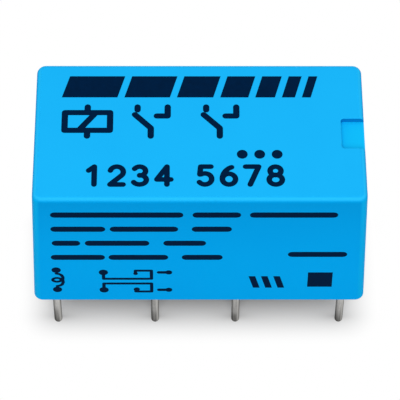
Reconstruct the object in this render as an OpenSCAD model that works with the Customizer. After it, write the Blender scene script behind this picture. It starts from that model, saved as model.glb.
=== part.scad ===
// Signal relay for a printed circuit board, with a coil and two changeover contacts in a moulded case.
// The origin is the middle of the pin pattern, on the plane of the case's rim, which sits on the board.
// +X runs along the case from the coil pins to the contact pins, and +Z points away from the board.

/* [Pins] */
// Distance along the case between its first and last pins
pin_span = 17.78; // [16:0.01:19.6]
// Distance between the two rows of pins
row_pitch = 7.62; // [7:0.01:8.4]
// Distance from a coil pin to the common pin in its row
coil_to_common = 6.14; // [5.6:0.01:6.6]
// Distance from a common pin to the pin of its resting contact
common_to_rest = 5.08; // [4.6:0.01:5.4]
// Diameter of a pin
pin_d = 0.5; // [0.4:0.05:0.6]
// Length of a pin below the rim
pin_len = 4.75; // [2.5:0.05:5]
// Step from a pin's wall out to the face of its shank inside the case
shank_step = 0.03; // [0.02:0.01:0.04]
// Cut on the corners of a shank
shank_cut = 0.08; // [0.04:0.01:0.12]
// Radius of the rounding at a pin's tip
tip_r = 0.2; // [0.05:0.01:0.2]

/* [Case] */
// Length of the rim beyond the outer pins, at each end
end_overhang = 1.26; // [1.2:0.02:1.6]
// Width of the rim beyond a row of pins, at each side
side_overhang = 1.59; // [1.2:0.01:1.8]
// Height of the case above the board
case_h = 10.2; // [9.4:0.1:12]
// Thickness of the side walls
wall = 0.6; // [0.5:0.05:0.7]
// Thickness of the top wall
top_wall = 0.7; // [0.6:0.05:0.9]
// Draft of the side walls in degrees
draft = 1.85; // [0.5:0.05:1.85]
// Radius of the upright edges outside
corner_r = 0.55; // [0.45:0.05:0.8]
// Radius of the edges round the top
top_edge_r = 0.33; // [0.2:0.01:0.4]
// Radius of the upright edges of the cavity
cavity_r = 0.25; // [0.15:0.05:0.4]
// Bevel on the outer edge of the rim
rim_bevel = 0.08; // [0.02:0.01:0.15]

/* [Recess in the top] */
// Length of the recess, inwards from the end wall
recess_l = 1.4; // [0.8:0.1:2]
// Width of the recess
recess_w = 2.2; // [1:0.1:4]
// Depth of the recess
recess_depth = 0.37; // [0.1:0.01:0.45]
// Distance from the middle line to the recess's middle, towards the front row
recess_offset = 0.18; // [0:0.01:0.4]
// Radius of the recess's inner corners
recess_r = 0.18; // [0.1:0.02:0.4]

/* [Base and seal] */
// Depth of the seal's face inside the rim
seal_depth = 0.15; // [0.05:0.05:0.3]
// Thickness of the seal
seal_t = 0.35; // [0.2:0.05:0.5]
// Thickness of the base plate
base_t = 1.3; // [1.1:0.05:1.4]
// Gap between the base and the case all round
base_fit = 0.03; // [0.01:0.01:0.08]
// Gap between a pin and its hole in the base
pin_fit = 0.02; // [0.01:0.01:0.05]
// Diameter of the bosses that hold the taller pins
boss_d = 1.05; // [0.9:0.05:1.1]
// Height of those bosses
boss_h = 0.5; // [0.3:0.05:0.7]
// Thickness of the nibs that hold the bobbin's ends
nib_t = 0.3; // [0.2:0.05:0.4]
// Width of those nibs
nib_w = 0.75; // [0.5:0.05:0.8]
// Height of those nibs
nib_h = 0.35; // [0.2:0.05:0.4]
// Gap between a nib and the bobbin's end
nib_fit = 0.02; // [0.01:0.01:0.05]

/* [Coil] */
// Thickness of a bobbin end
flange_t = 0.5; // [0.4:0.05:0.6]
// Gap between a bobbin end and the contact spring beside it
flange_gap = 0.2; // [0.15:0.05:0.3]
// Gap between a bobbin end and the armature above it, at rest
armature_gap = 0.8; // [0.6:0.05:1]
// Radius of a bobbin end's corners
flange_r = 0.5; // [0.2:0.1:0.8]
// Outer radius of the bobbin's tube
tube_r = 1.5; // [1.4:0.05:1.6]
// Depth of a bobbin end's side beyond the winding
winding_inset = 0.15; // [0.15:0.05:0.3]
// Thickness of the tape round the winding
tape_t = 0.05; // [0.03:0.01:0.06]
// Diameter of the wire that leads to a coil pin
lead_d = 0.1; // [0.08:0.01:0.12]
// Height of a coil pin above the base
coil_post_h = 1.6; // [1.3:0.1:2]
// Height above the boss at which the wire is wound on the pin
wrap_h = 0.35; // [0.3:0.05:0.6]
// Gap between a coil pin and the turns of wire on it
wrap_fit = 0.02; // [0.01:0.01:0.04]
// Height above its turns at which the wire comes in to the pin
lead_slack = 0.4; // [0.3:0.05:0.6]
// Length of the wire that lies along the winding
lead_run = 0.3; // [0.2:0.05:0.5]

/* [Magnet parts] */
// Width of the core inside the coil
core_w = 2; // [1.8:0.05:2.1]
// Thickness of the core inside the coil
core_t = 1.2; // [1:0.05:1.3]
// Thickness of the upright pole
pole_t = 0.9; // [0.8:0.05:1]
// Width of the pole's face
pole_w = 3.4; // [2.6:0.1:4]
// Height of the pole's wide head
pole_head_h = 1.6; // [1:0.1:2]
// Gap between the core and the bobbin's bore
core_fit = 0.05; // [0.02:0.01:0.08]
// Thickness of the yoke
yoke_t = 0.9; // [0.8:0.05:1]
// Distance from the bobbin end's side to the yoke's side
yoke_gap = 0.25; // [0.2:0.05:0.4]
// Distance from the line of the coil pins to the yoke's back
yoke_inset = 0.24; // [0.1:0.01:0.4]
// Width of the edge that the armature rocks on
rocking_edge = 0.3; // [0.1:0.05:0.5]
// Thickness of the armature
armature_t = 0.7; // [0.6:0.05:0.8]
// Turn of the armature when the coil pulls it in, in degrees
pull_in = 1.9; // [1.5:0.1:2.1]
// Gap between the armature and the edge that it rocks on
rocking_gap = 0.02; // [0.01:0.01:0.03]
// Thickness of the sheet that keeps the armature off the pole
shim_t = 0.06; // [0.04:0.01:0.1]
// Width of that sheet beyond the pole's face all round
shim_margin = 0.15; // [0.05:0.05:0.25]
// Distance from the coil's end to the contacts
coil_to_contact = 2.5; // [2.3:0.05:2.7]
// Thickness of the hinge spring
hinge_spring_t = 0.1; // [0.06:0.01:0.15]
// Width of the hinge spring
hinge_spring_w = 2.4; // [1.6:0.1:3.2]
// Reach of the hinge spring over the armature
hinge_spring_reach = 1.8; // [1.2:0.1:2.6]
// Length of the hinge spring down the yoke's back
hinge_spring_drop = 2.6; // [2:0.1:2.8]

/* [Actuator card] */
// Width of the armature's tongue in the card
tongue_w = 2.4; // [1.6:0.1:3]
// Length over which the armature narrows to its tongue
tongue_taper = 0.6; // [0.3:0.1:1]
// Thickness of the beam in front of the tongue
tongue_cover = 0.375; // [0.25:0.025:0.5]
// Length of the card's beam
beam_l = 1.35; // [1:0.05:1.5]
// Thickness of the beam above the armature
beam_cap = 0.25; // [0.15:0.05:0.3]
// Thickness of the beam below the armature
beam_sole = 0.45; // [0.3:0.05:0.6]
// Gap between the beam and the inside of the top wall
head_gap = 0.25; // [0.15:0.05:0.35]
// Thickness of a leg
leg_t = 0.5; // [0.35:0.05:0.6]
// Width of a leg
leg_w = 0.9; // [0.6:0.05:0.95]
// Gap between a leg and the spring that it pushes
leg_gap = 0.04; // [0.02:0.01:0.06]

/* [Contacts] */
// Thickness of the formed terminal strips
strip_t = 0.25; // [0.2:0.01:0.28]
// Width of a terminal's riser
riser_w = 0.66; // [0.5:0.02:0.9]
// Distance from a pin's axis to the outer face of its riser
riser_reach = 0.39; // [0.34:0.01:0.45]
// Distance from a pin's axis to the outer edge of its pad
pad_reach = 0.31; // [0.3:0.01:0.33]
// Distance from the end of a common pad to the spring's bending line
pad_setback = 0.02; // [0.01:0.01:0.05]
// Length of a terminal strip past its contact
strip_end = 0.1; // [0.05:0.05:0.15]
// Width of a terminal strip past the contact spring
strip_side = 0.05; // [0:0.01:0.1]
// Thickness of a contact spring
leaf_t = 0.12; // [0.08:0.01:0.15]
// Width of a contact spring's blade
blade_w = 1; // [0.9:0.02:1.04]
// Distance from the row of pins in to the middle of a blade
blade_inset = 0.66; // [0.64:0.01:0.7]
// Gap between the two tines at a blade's end
tine_gap = 0.16; // [0.1:0.02:0.22]
// Length of the two tines
tine_l = 3.4; // [2.4:0.1:4.5]
// Distance from the last pins back to the middle of the card's legs
leg_inset = 1.19; // [1:0.01:1.3]
// Distance from the contacts to the middle of the card's legs
leg_reach = 1.1; // [1:0.05:1.2]
// Length of a spring past the middle of the card's legs
tip_reach = 0.5; // [0.3:0.05:0.6]
// Distance from a common pin to the spring's bending line
bend_reach = 0.75; // [0.6:0.05:0.9]
// Diameter of a moving contact's head
rivet_d = 0.4; // [0.3:0.02:0.42]
// Diameter of a moving contact's shank
shank_d = 0.24; // [0.16:0.02:0.26]
// Height of a moving contact's head
rivet_h = 0.22; // [0.12:0.02:0.26]
// Length of a fixed contact along the spring
bar_l = 0.5; // [0.4:0.05:0.6]
// Height of a fixed contact
bar_h = 0.3; // [0.2:0.02:0.34]
// Bevel along a fixed contact's edges
bar_bevel = 0.1; // [0.04:0.02:0.15]
// Gap between closed contacts
contact_gap = 0.03; // [0.01:0.01:0.05]

/* [Hidden] */
$fn = 32;
arc_steps = 8;
// how far a cut runs past the face that it opens
over = 0.5;

case_l = pin_span + 2 * end_overhang;
case_w = row_pitch + 2 * side_overhang;
slope = tan(draft);
row_y = row_pitch / 2;
shank_half = pin_d / 2 + shank_step;
seal_top = seal_depth + seal_t;
base_top = seal_top + base_t;
cavity_top = case_h - top_wall;

// pins along the length, and the lines that the moving parts turn on
coil_x = -pin_span / 2;
common_x = coil_x + coil_to_common;
rest_x = common_x + common_to_rest;
work_x = pin_span / 2;
yoke_back = coil_x + yoke_inset;
hinge_x = yoke_back + yoke_t / 2;
bend_x = common_x + bend_reach;
leg_x = work_x - leg_inset;
contact_x = leg_x - leg_reach;
tip_x = leg_x + tip_reach;
card_end = leg_x + leg_t / 2;
card_start = card_end - beam_l;
tongue_end = card_end - tongue_cover;

// places across the case
blade_y = row_y - blade_inset;
blade_in = blade_y - blade_w / 2;
blade_out = blade_y + blade_w / 2;
tab_in = blade_in - strip_side;
tab_out = row_y + riser_reach;
pad_out = row_y + pad_reach;
bar_w = blade_w + strip_side;

// heights of the armature and the pole face that it is pulled to
coil_end = contact_x - coil_to_contact;
pole_end = coil_end + pole_t;
armature_z = cavity_top - head_gap - beam_cap - armature_t;
pole_top = armature_z - shim_t - contact_gap - (pole_end - hinge_x) * sin(pull_in);

// the coil fills the space between the yoke and the pole, the base and the armature
coil_start = yoke_back + yoke_t;
winding_start = coil_start + flange_t;
winding_l = coil_end - flange_t - winding_start;
flange_w = 2 * (blade_in - flange_gap);
flange_h = armature_z - armature_gap - base_top;
coil_z = base_top + flange_h / 2;
winding_r = min(flange_w, flange_h) / 2 - winding_inset;
tape_r = winding_r + tape_t;
yoke_w = flange_w - 2 * yoke_gap;

// the springs turn further than the armature because they are shorter
spring_ratio = (leg_x - hinge_x) / (leg_x - bend_x);
contact_drop = (contact_x - bend_x + rivet_d / 2) * sin(pull_in * spring_ratio);
work_face = base_top + strip_t + bar_h;
leaf_z = work_face + contact_gap + contact_drop + rivet_h;
leaf_top = leaf_z + leaf_t;
rest_face = leaf_top + rivet_h + contact_gap;
rest_tab_z = rest_face + bar_h;

// sides of the relay: -1 is the front row of pins and 1 the back row
front = -1;
back = 1;

// Outline of a rectangle with rounded corners, centred on the origin
function round_rect(l, w, r) = [
    for (c = [0:3], s = [0:arc_steps])
    let (
        sx = (c == 0 || c == 3) ? 1 : -1,
        sy = (c < 2) ? 1 : -1,
        a = 90 * c + 90 * s / arc_steps
    )
    [sx * (l / 2 - r) + r * cos(a), sy * (w / 2 - r) + r * sin(a)]
];

// Outline of a pin's shank from half its width: a square with cut corners
function shank_outline(half) =
    let (k = half - shank_cut)
    [[half, -k], [half, k], [k, half], [-k, half], [-half, k], [-half, -k], [-k, -half], [k, -half]];

// Points of a quarter circle of radius r about c, from angle a to a + 90 degrees
function quarter(c, r, a) = [
    for (s = [0:arc_steps]) c + r * [cos(a + 90 * s / arc_steps), sin(a + 90 * s / arc_steps)]
];

// A flat outline drawn in X and Z, made thick along Y and centred on the middle plane
module across(w) {
    rotate([90, 0, 0])
        linear_extrude(height = w, center = true)
            children();
}

// A box from its lowest corner to its highest
module block(low, high) {
    translate(low)
        cube(high - low);
}

// Child on one side of the middle plane, mirrored for the back row
module on_side(side) {
    if (side == back)
        children();
    else
        mirror([0, 1, 0])
            children();
}

module at_corners(l, w, r) {
    for (sx = [-1, 1], sy = [-1, 1])
        translate([sx * (l / 2 - r), sy * (w / 2 - r), 0])
            children();
}

// Pin: round with a rounded tip below the rim, then a square shank up to height top
module pin(top) {
    r = pin_d / 2;
    rotate_extrude()
        polygon(concat(
            [[0, seal_depth], [0, -pin_len]],
            quarter([r - tip_r, tip_r - pin_len], tip_r, -90),
            [[r, seal_depth]]
        ));
    linear_extrude(height = top)
        polygon(shank_outline(shank_half));
}

module at_pin(x) {
    translate([x, row_y, 0])
        children();
}

// Cover: one deep drafted moulding, open below, with rounded outer edges
module cover_body() {
    top_l = case_l - 2 * case_h * slope;
    top_w = case_w - 2 * case_h * slope;
    bevel_l = case_l - 2 * rim_bevel * slope;
    bevel_w = case_w - 2 * rim_bevel * slope;
    hull() {
        at_corners(case_l - 2 * rim_bevel, case_w - 2 * rim_bevel, corner_r - rim_bevel)
            cylinder(r = corner_r - rim_bevel, h = rim_bevel / 2);
        translate([0, 0, rim_bevel / 2])
            at_corners(bevel_l, bevel_w, corner_r)
                cylinder(r1 = corner_r - rim_bevel / 2, r2 = corner_r, h = rim_bevel / 2);
        translate([0, 0, case_h - top_edge_r])
            at_corners(top_l, top_w, corner_r)
                rotate_extrude()
                    polygon(concat(
                        [[0, 0]],
                        quarter([corner_r - top_edge_r, 0], top_edge_r, 0),
                        [[0, top_edge_r]]
                    ));
    }
}

module cavity() {
    mouth_l = case_l - 2 * wall;
    mouth_w = case_w - 2 * wall;
    hull() {
        translate([0, 0, -over])
            at_corners(mouth_l + 2 * over * slope, mouth_w + 2 * over * slope, cavity_r)
                cylinder(r = cavity_r, h = 0.01);
        translate([0, 0, cavity_top - 0.01])
            at_corners(mouth_l - 2 * cavity_top * slope, mouth_w - 2 * cavity_top * slope, cavity_r)
                cylinder(r = cavity_r, h = 0.01);
    }
}

module recess() {
    end_x = case_l / 2 - case_h * slope;
    inner_x = end_x - recess_l;
    half = recess_w / 2;
    translate([0, -recess_offset, case_h - recess_depth])
        linear_extrude(height = recess_depth + over)
            polygon(concat(
                [[end_x + over, half]],
                quarter([inner_x + recess_r, half - recess_r], recess_r, 90),
                quarter([inner_x + recess_r, recess_r - half], recess_r, 180),
                [[end_x + over, -half]]
            ));
}

module cover() {
    color([0.08, 0.71, 0.98])
        difference() {
            cover_body();
            cavity();
            recess();
        }
}

// Base: moulded plate that carries every terminal and the bobbin's ends
module pin_holes(half, low, high) {
    for (side = [front, back], x = [coil_x, common_x, rest_x, work_x])
        translate([x, side * row_y, low])
            linear_extrude(height = high - low)
                polygon(shank_outline(half));
}

// Two nibs across the case, clear of the round winding between them
module nibs(x) {
    outer = flange_w / 2 - flange_r;
    for (side = [front, back])
        on_side(side)
            block(
                [x - nib_t / 2, outer - nib_w, base_top - nib_t],
                [x + nib_t / 2, outer, base_top + nib_h]
            );
}

module base() {
    l = case_l - 2 * wall - 2 * base_top * slope - 2 * base_fit;
    w = case_w - 2 * wall - 2 * base_top * slope - 2 * base_fit;
    color([0.09, 0.1, 0.11])
        difference() {
            union() {
                translate([0, 0, seal_top])
                    linear_extrude(height = base_t)
                        polygon(round_rect(l, w, cavity_r));
                for (side = [front, back], x = [coil_x, common_x])
                    translate([x, side * row_y, base_top - nib_t])
                        cylinder(d = boss_d, h = boss_h + nib_t);
                nibs(winding_start + nib_fit + nib_t / 2);
                nibs(winding_start + winding_l - nib_fit - nib_t / 2);
                nibs(coil_end + nib_fit + nib_t / 2);
            }
            pin_holes(shank_half + pin_fit, seal_top - over, base_top + boss_h + over);
        }
}

// Seal: resin poured over the base's underside, round the pins and up to the case
module bottom_seal() {
    l = case_l - 2 * wall - 2 * seal_top * slope;
    w = case_w - 2 * wall - 2 * seal_top * slope;
    color([0.2, 0.17, 0.13])
        difference() {
            translate([0, 0, seal_depth])
                linear_extrude(height = seal_t)
                    polygon(round_rect(l, w, cavity_r));
            pin_holes(shank_half, seal_depth - over, seal_top + over);
        }
}

// Coil terminal: a plain pin that stands above the base as a post for the coil's wire
module coil_terminal(side) {
    color([0.72, 0.72, 0.71])
        on_side(side)
            at_pin(coil_x)
                pin(base_top + coil_post_h);
}

// Common terminal: a pin with a pad on top that the contact spring is welded to
module common_terminal(side) {
    color([0.72, 0.72, 0.71])
        on_side(side) {
            at_pin(common_x)
                pin(leaf_z - strip_t / 2);
            block(
                [common_x - riser_w, blade_in, leaf_z - strip_t],
                [bend_x - pad_setback, pad_out, leaf_z]
            );
        }
}

// Terminal of the resting contact: its strip rises outside the spring and turns in over it
module rest_terminal(side) {
    left = rest_x - riser_w / 2;
    right = rest_x + riser_w / 2;
    color([0.72, 0.72, 0.71])
        on_side(side) {
            at_pin(rest_x)
                pin(base_top + strip_t / 2);
            block(
                [left, row_y - shank_half, base_top],
                [right, tab_out, base_top + strip_t]
            );
            block(
                [left, tab_out - strip_t, base_top],
                [right, tab_out, rest_tab_z + strip_t]
            );
            translate([0, 0, rest_tab_z])
                linear_extrude(height = strip_t)
                    polygon([
                        [left, tab_in],
                        [contact_x + bar_l / 2 + strip_end, tab_in],
                        [contact_x + bar_l / 2 + strip_end, blade_out],
                        [right + tab_out - blade_out, blade_out],
                        [right, tab_out],
                        [left, tab_out]
                    ]);
        }
}

// Terminal of the working contact: its strip lies on the base and reaches back under the spring
module work_terminal(side) {
    color([0.72, 0.72, 0.71])
        on_side(side) {
            at_pin(work_x)
                pin(base_top + strip_t / 2);
            translate([0, 0, base_top])
                linear_extrude(height = strip_t)
                    polygon([
                        [contact_x - bar_l / 2 - strip_end, tab_in],
                        [work_x - shank_half, tab_in],
                        [work_x + shank_half, row_y - shank_half],
                        [work_x + shank_half, pad_out],
                        [work_x - shank_half, pad_out],
                        [work_x - shank_half - pad_out + blade_out, blade_out],
                        [contact_x - bar_l / 2 - strip_end, blade_out]
                    ]);
        }
}

// Bobbin: tube with two ends that stand on the base, notched where the wire leaves the winding
module bobbin_end(x) {
    translate([x, 0, coil_z])
        rotate([90, 0, 90])
            linear_extrude(height = flange_t)
                polygon(round_rect(flange_w, flange_h, flange_r));
}

module bobbin() {
    // room for the wire with its own width on either side
    notch = 3 * lead_d;
    color([0.12, 0.12, 0.13])
        difference() {
            union() {
                bobbin_end(coil_start);
                bobbin_end(coil_end - flange_t);
                translate([coil_start, 0, coil_z])
                    rotate([0, 90, 0])
                        cylinder(r = tube_r, h = coil_end - coil_start);
            }
            block(
                [coil_start - over, -core_w / 2 - core_fit, coil_z - core_t / 2 - core_fit],
                [coil_end + over, core_w / 2 + core_fit, coil_z + core_t / 2 + core_fit]
            );
            for (s = [-1, 1])
                translate([coil_start + flange_t / 2, s * (tape_r + lead_d / 2), coil_z])
                    cube([flange_t + over, notch, notch], center = true);
        }
}

// Sleeve round the bobbin's tube between its ends
module sleeve(inner, outer) {
    translate([winding_start, 0, coil_z])
        rotate([0, 90, 0])
            difference() {
                cylinder(r = outer, h = winding_l);
                translate([0, 0, -over])
                    cylinder(r = inner, h = winding_l + 2 * over);
            }
}

module coil_winding() {
    color([0.72, 0.36, 0.14])
        sleeve(tube_r, winding_r);
}

module coil_tape() {
    color([0.75, 0.62, 0.24])
        sleeve(winding_r, tape_r);
}

// Coil lead: from the winding through the notch in the bobbin's end, and twice round the coil pin
module coil_lead(side) {
    r = lead_d / 2;
    ring_r = norm([shank_half, shank_half - shank_cut]) + wrap_fit + r;
    ring_z = base_top + boss_h + wrap_h;
    out_y = tape_r + r;
    // where the wire runs into its first turn, as an angle round the pin
    meet = 60;
    // the turns lie so close that they make one solid
    turn_pitch = 0.9 * lead_d;
    route = [
        [winding_start + lead_run, out_y, coil_z],
        [yoke_back + yoke_t / 2, out_y, coil_z],
        [coil_x + shank_half, row_y - 2 * shank_half, ring_z + lead_slack],
        [coil_x + ring_r * cos(meet), row_y - ring_r * sin(meet), ring_z]
    ];
    color([0.78, 0.42, 0.16])
        on_side(side) {
            for (i = [0:len(route) - 2])
                hull() {
                    translate(route[i])
                        sphere(r = r, $fn = 12);
                    translate(route[i + 1])
                        sphere(r = r, $fn = 12);
                }
            for (turn = [0, 1])
                translate([coil_x, row_y, ring_z - turn * turn_pitch])
                    rotate_extrude()
                        translate([ring_r, 0])
                            circle(r = r);
        }
}

// Core: a flat bar through the coil that turns up outside the bobbin into the pole
module core() {
    low = coil_z - core_t / 2;
    bend_r = pole_t;
    color([0.6, 0.6, 0.6]) {
        across(core_w)
            polygon(concat(
                [[yoke_back, low]],
                quarter([pole_end - bend_r, low + bend_r], bend_r, -90),
                [
                    [pole_end, pole_top],
                    [coil_end, pole_top],
                    [coil_end, low + core_t],
                    [yoke_back, low + core_t]
                ]
            ));
        block(
            [coil_end, -pole_w / 2, pole_top - pole_head_h],
            [pole_end, pole_w / 2, pole_top]
        );
    }
}

// Yoke: upright plate riveted on the core's end, with the edge that the armature rocks on
module yoke() {
    top = armature_z - rocking_gap;
    slant = (yoke_t - rocking_edge) / 2;
    color([0.58, 0.58, 0.58])
        difference() {
            across(yoke_w)
                polygon([
                    [yoke_back, base_top],
                    [coil_start, base_top],
                    [coil_start, top - slant / 2],
                    [coil_start - slant, top],
                    [yoke_back + slant, top],
                    [yoke_back, top - slant / 2]
                ]);
            block(
                [yoke_back - over, -core_w / 2, coil_z - core_t / 2],
                [coil_start + over, core_w / 2, coil_z + core_t / 2]
            );
        }
}

// Armature: flat plate over the coil, narrowed to a tongue that the card is pressed on
module armature() {
    color([0.62, 0.62, 0.61])
        translate([0, 0, armature_z])
            linear_extrude(height = armature_t)
                polygon([
                    [yoke_back + rocking_gap, -yoke_w / 2],
                    [card_start - tongue_taper, -yoke_w / 2],
                    [card_start, -tongue_w / 2],
                    [tongue_end, -tongue_w / 2],
                    [tongue_end, tongue_w / 2],
                    [card_start, tongue_w / 2],
                    [card_start - tongue_taper, yoke_w / 2],
                    [yoke_back + rocking_gap, yoke_w / 2]
                ]);
}

// Shim: thin non-magnetic sheet under the armature, over the pole's face
module residual_shim() {
    half_w = pole_w / 2 + shim_margin;
    color([0.8, 0.62, 0.3])
        block(
            [coil_end - shim_margin, -half_w, armature_z - shim_t],
            [pole_end + shim_margin, half_w, armature_z]
        );
}

// Hinge spring: bent strip welded on the yoke's back that holds the armature down on its edge
module hinge_spring() {
    lift = armature_z + armature_t + rocking_gap;
    // outer radius of the bend, so that its inside is twice the strip's thickness
    bend_r = 3 * hinge_spring_t;
    outer = yoke_back - hinge_spring_t;
    crown = lift + hinge_spring_t;
    color([0.82, 0.62, 0.34])
        across(hinge_spring_w)
            polygon(concat(
                [
                    [yoke_back, crown - hinge_spring_drop],
                    [yoke_back, lift - bend_r + hinge_spring_t]
                ],
                [
                    for (s = [0:arc_steps])
                    let (a = 180 - 90 * s / arc_steps)
                    [outer + bend_r, crown - bend_r] + (bend_r - hinge_spring_t) * [cos(a), sin(a)]
                ],
                [
                    [outer + bend_r + hinge_spring_reach, lift],
                    [outer + bend_r + hinge_spring_reach, crown]
                ],
                quarter([outer + bend_r, crown - bend_r], bend_r, 90),
                [[outer, crown - hinge_spring_drop]]
            ));
}

// Card: moulded beam pressed on the tongue, with a leg down to each contact spring
module card_leg() {
    foot = leaf_top + leg_gap;
    half = leg_t / 2;
    translate([leg_x, blade_y, 0])
        across(leg_w)
            polygon([
                [-half / 2, foot],
                [half / 2, foot],
                [half, foot + half],
                [half, armature_z],
                [-half, armature_z],
                [-half, foot + half]
            ]);
}

module actuator_card() {
    half_w = blade_y + leg_w / 2;
    color([0.85, 0.83, 0.78])
        difference() {
            union() {
                block(
                    [card_start, -half_w, armature_z - beam_sole],
                    [card_end, half_w, armature_z + armature_t + beam_cap]
                );
                for (side = [front, back])
                    on_side(side)
                        card_leg();
            }
            block(
                [card_start - over, -tongue_w / 2, armature_z],
                [tongue_end, tongue_w / 2, armature_z + armature_t]
            );
        }
}

// Contact spring: thin blade with a wide root, split into two tines at its end
module contact_spring(side) {
    root = common_x - riser_w;
    fork = tip_x - tine_l;
    color([0.8, 0.6, 0.33])
        on_side(side)
            translate([0, 0, leaf_z])
                linear_extrude(height = leaf_t)
                    difference() {
                        polygon([
                            [root, blade_in],
                            [tip_x, blade_in],
                            [tip_x, blade_out],
                            [bend_x + pad_out - blade_out, blade_out],
                            [bend_x, pad_out],
                            [root, pad_out]
                        ]);
                        translate([fork, blade_y - tine_gap / 2])
                            square([tine_l + over, tine_gap]);
                        for (s = [-1, 1])
                            translate([contact_x, blade_y + s * (blade_w + tine_gap) / 4])
                                circle(d = shank_d);
                    }
}

// Moving contacts: a rivet through each tine, with a head above for rest and below for work
module moving_contacts(side) {
    face_r = rivet_d / 2 - rivet_h / 3;
    color([0.85, 0.84, 0.8])
        on_side(side)
            for (s = [-1, 1])
                translate([contact_x, blade_y + s * (blade_w + tine_gap) / 4, leaf_z])
                    rotate_extrude()
                        polygon([
                            [0, -rivet_h],
                            [face_r, -rivet_h],
                            [rivet_d / 2, -rivet_h / 2],
                            [rivet_d / 2, 0],
                            [shank_d / 2, 0],
                            [shank_d / 2, leaf_t],
                            [rivet_d / 2, leaf_t],
                            [rivet_d / 2, leaf_t + rivet_h / 2],
                            [face_r, leaf_t + rivet_h],
                            [0, leaf_t + rivet_h]
                        ]);
}

// Fixed contact: a bevelled bar across both tines, with its face at height face and its back at back_z
module contact_bar(side, face, back_z) {
    way = face > back_z ? 1 : -1;
    half = bar_l / 2;
    color([0.85, 0.84, 0.8])
        on_side(side)
            translate([contact_x, blade_y, 0])
                across(bar_w)
                    polygon([
                        [-half, back_z],
                        [half, back_z],
                        [half, face - way * bar_bevel],
                        [half - bar_bevel, face],
                        [bar_bevel - half, face],
                        [-half, face - way * bar_bevel]
                    ]);
}

cover();
base();
bottom_seal();
coil_terminal(front);  // coil_terminal_front
coil_terminal(back);  // coil_terminal_back
common_terminal(front);  // common_terminal_front
common_terminal(back);  // common_terminal_back
rest_terminal(front);  // rest_terminal_front
rest_terminal(back);  // rest_terminal_back
work_terminal(front);  // work_terminal_front
work_terminal(back);  // work_terminal_back
bobbin();
coil_winding();
coil_tape();
coil_lead(front);  // coil_lead_front
coil_lead(back);  // coil_lead_back
core();
yoke();
armature();
residual_shim();
hinge_spring();
actuator_card();
contact_spring(front);  // contact_spring_front
contact_spring(back);  // contact_spring_back
moving_contacts(front);  // moving_contacts_front
moving_contacts(back);  // moving_contacts_back
contact_bar(front, rest_face, rest_tab_z);  // rest_contact_front
contact_bar(back, rest_face, rest_tab_z);  // rest_contact_back
contact_bar(front, work_face, base_top + strip_t);  // work_contact_front
contact_bar(back, work_face, base_top + strip_t);  // work_contact_back
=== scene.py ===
# Signal relay: a blue moulded cover, eight round pins and the mechanism sealed in between them.
import math

import bmesh
import bpy
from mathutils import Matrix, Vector, geometry


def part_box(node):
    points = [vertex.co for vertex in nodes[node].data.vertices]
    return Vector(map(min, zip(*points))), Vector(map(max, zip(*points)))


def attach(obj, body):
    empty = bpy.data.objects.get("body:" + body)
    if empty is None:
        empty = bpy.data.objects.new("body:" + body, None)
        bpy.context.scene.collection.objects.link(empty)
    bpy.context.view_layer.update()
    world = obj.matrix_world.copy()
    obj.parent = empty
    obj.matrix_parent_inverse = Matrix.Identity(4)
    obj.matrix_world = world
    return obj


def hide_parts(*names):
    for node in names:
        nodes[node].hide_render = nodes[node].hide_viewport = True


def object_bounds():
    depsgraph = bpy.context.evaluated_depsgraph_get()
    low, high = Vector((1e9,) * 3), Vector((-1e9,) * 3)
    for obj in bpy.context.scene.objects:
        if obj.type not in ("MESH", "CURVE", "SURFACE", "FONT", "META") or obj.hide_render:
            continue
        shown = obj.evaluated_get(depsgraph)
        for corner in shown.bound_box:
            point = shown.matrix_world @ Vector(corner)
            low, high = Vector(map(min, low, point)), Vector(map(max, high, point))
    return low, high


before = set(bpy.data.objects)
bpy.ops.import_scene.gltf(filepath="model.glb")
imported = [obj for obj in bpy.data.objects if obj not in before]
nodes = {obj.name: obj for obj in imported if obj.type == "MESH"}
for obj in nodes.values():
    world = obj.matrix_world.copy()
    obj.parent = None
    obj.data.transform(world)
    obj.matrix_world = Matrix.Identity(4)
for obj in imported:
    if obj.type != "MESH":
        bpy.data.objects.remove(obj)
cad_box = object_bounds()
MM = 0.001

# Pins and terminals
# Each is one piece of copper alloy: a round leg below the case and formed strips inside it.
# They are stamped, formed and plated with matt tin, which solders well and goes a soft grey.


def hex_colour(code):
    """Turns an sRGB hex value into the linear colour that a shader takes."""
    parts = [int(code[i : i + 2], 16) / 255 for i in (0, 2, 4)]
    return [c / 12.92 if c <= 0.04045 else ((c + 0.055) / 1.055) ** 2.4 for c in parts] + [1]


def add(material, kind, inputs=(), **settings):
    """Adds a node with its settings. Each input is a plain value or another node's output.

    A Mix node takes its two numbers as inputs 2 and 3, or its two colours as 6 and 7.
    """
    node = material.node_tree.nodes.new("ShaderNode" + kind)
    for name, value in settings.items():
        setattr(node, name, value)
    for name, value in dict(inputs).items():
        if isinstance(value, bpy.types.NodeSocket):
            material.node_tree.links.new(value, node.inputs[name])
        else:
            node.inputs[name].default_value = value
    return node


def new_material(name):
    """An empty material whose patterns are measured in millimetres of the object."""
    material = bpy.data.materials.new(name)
    material.use_nodes = True
    material.node_tree.nodes.clear()
    place = add(material, "TexCoord").outputs["Object"]
    scaled = add(material, "VectorMath", {0: place, 1: (1 / MM,) * 3}, operation="MULTIPLY")
    return material, scaled.outputs[0]


def dress(material, surface, *pieces):
    """Ends a material with its surface shader and gives it to CAD nodes or pieces."""
    add(material, "OutputMaterial", {"Surface": surface.outputs[0]})
    for piece in pieces:
        slots = (nodes[piece] if isinstance(piece, str) else piece).data.materials
        slots.clear()
        slots.append(material)


def both(*names):
    """The front and the back node of each name."""
    return [name + row for name in names for row in ("_front", "_back")]


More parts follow.
